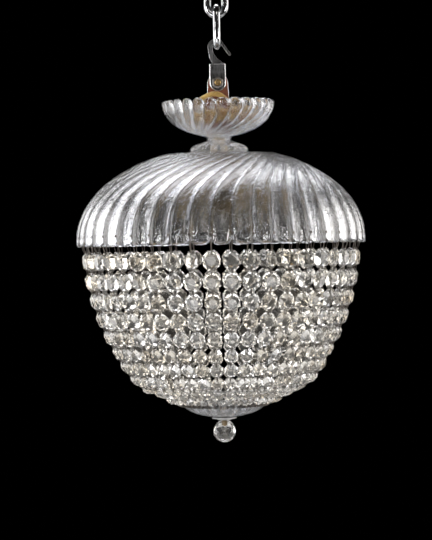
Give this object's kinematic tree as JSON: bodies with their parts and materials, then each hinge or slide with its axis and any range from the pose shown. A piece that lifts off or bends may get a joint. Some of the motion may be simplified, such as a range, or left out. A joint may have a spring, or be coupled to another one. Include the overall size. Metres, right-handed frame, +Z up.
{
  "type": "crystal pendant lamp",
  "caption": "Hanging lamp with a swirled glass dome, a basket of faceted crystal bead strands, a fluted dish and ball below, and a scalloped glass bowl under its hook and chain.",
  "frame": {"origin": "inside of the upper chain link's top bend, where the lamp hangs", "axes": "+Z up along the lamp's axis, -Y towards the front, +X to the right seen from the front"},
  "size_m": [0.28, 0.28, 0.4541],
  "materials": {
    "chain_steel": "polished nickel plate with fine scratches",
    "dark_steel": "darkened steel, brighter on the cut edges",
    "brass": "aged brass",
    "bronze": "worn reddish bronze over steel",
    "zinc": "dull zinc plate",
    "pressed_glass": "clear pressed lead glass, fire polished",
    "crystal": "clear cut crystal",
    "bulb_glass": "frosted bulb glass",
    "holder_plastic": "cream moulded plastic",
    "silk_flex": "twisted gold silk braid"
  },
  "bodies": {
    "upper_link": {"upper_chain_link": "chain_steel"},
    "lower_link": {"lower_chain_link": "chain_steel"},
    "hook": {"hook_fork": "dark_steel"},
    "lamp": {"pivot_bolt": "brass", "pivot_nut": "zinc", "pivot_spacer": "zinc", "stirrup": "bronze", "stem_tube": "brass", "stem_top_nut": "zinc", "bowl_washer": "brass", "glass_bowl": "pressed_glass", "glass_knop": "pressed_glass", "glass_dome": "pressed_glass", "dome_plate": "brass", "dome_lock_nut": "zinc", "lamp_cluster": "brass", "lampholder_1": "brass", "lampholder_2": "brass", "lampholder_3": "brass", "bulb_1": "bulb_glass", "bulb_2": "bulb_glass", "bulb_3": "bulb_glass", "flex_lead": "silk_flex", "flex_coil": "silk_flex", "terminal_block": "holder_plastic", "crystal_strand_pair_01": "crystal", "crystal_strand_pair_02": "crystal", "crystal_strand_pair_03": "crystal", "crystal_strand_pair_04": "crystal", "crystal_strand_pair_05": "crystal", "crystal_strand_pair_06": "crystal", "crystal_strand_pair_07": "crystal", "crystal_strand_pair_08": "crystal", "crystal_strand_pair_09": "crystal", "crystal_strand_pair_10": "crystal", "crystal_strand_pair_11": "crystal", "crystal_strand_pair_12": "crystal", "crystal_strand_pair_13": "crystal", "crystal_strand_pair_14": "crystal", "crystal_strand_pair_15": "crystal", "crystal_strand_pair_16": "crystal", "crystal_strand_pair_17": "crystal", "crystal_strand_pair_18": "crystal", "crystal_strand_pair_19": "crystal", "crystal_strand_pair_20": "crystal", "crystal_strand_pair_21": "crystal", "crystal_strand_pair_22": "crystal", "glass_dish": "pressed_glass", "finial_washer": "brass", "finial_pin": "brass", "finial_collar": "zinc", "finial_ball": "crystal"}
  },
  "joints": [
    {"name": "link_swing", "type": "hinge", "parent": "upper_link", "child": "lower_link", "pos_m": [0, 0, -0.0341], "axis": [1, 0, 0], "range_deg": [-60, 60]},
    {"name": "hook_swing", "type": "hinge", "parent": "lower_link", "child": "hook", "pos_m": [0, 0, -0.0644], "axis": [0, 1, 0], "range_deg": [-40, 40]},
    {"name": "stirrup_pivot", "type": "hinge", "parent": "hook", "child": "lamp", "pos_m": [0, 0, -0.10066], "axis": [0, 1, 0], "range_deg": [-60, 60]}
  ]
}
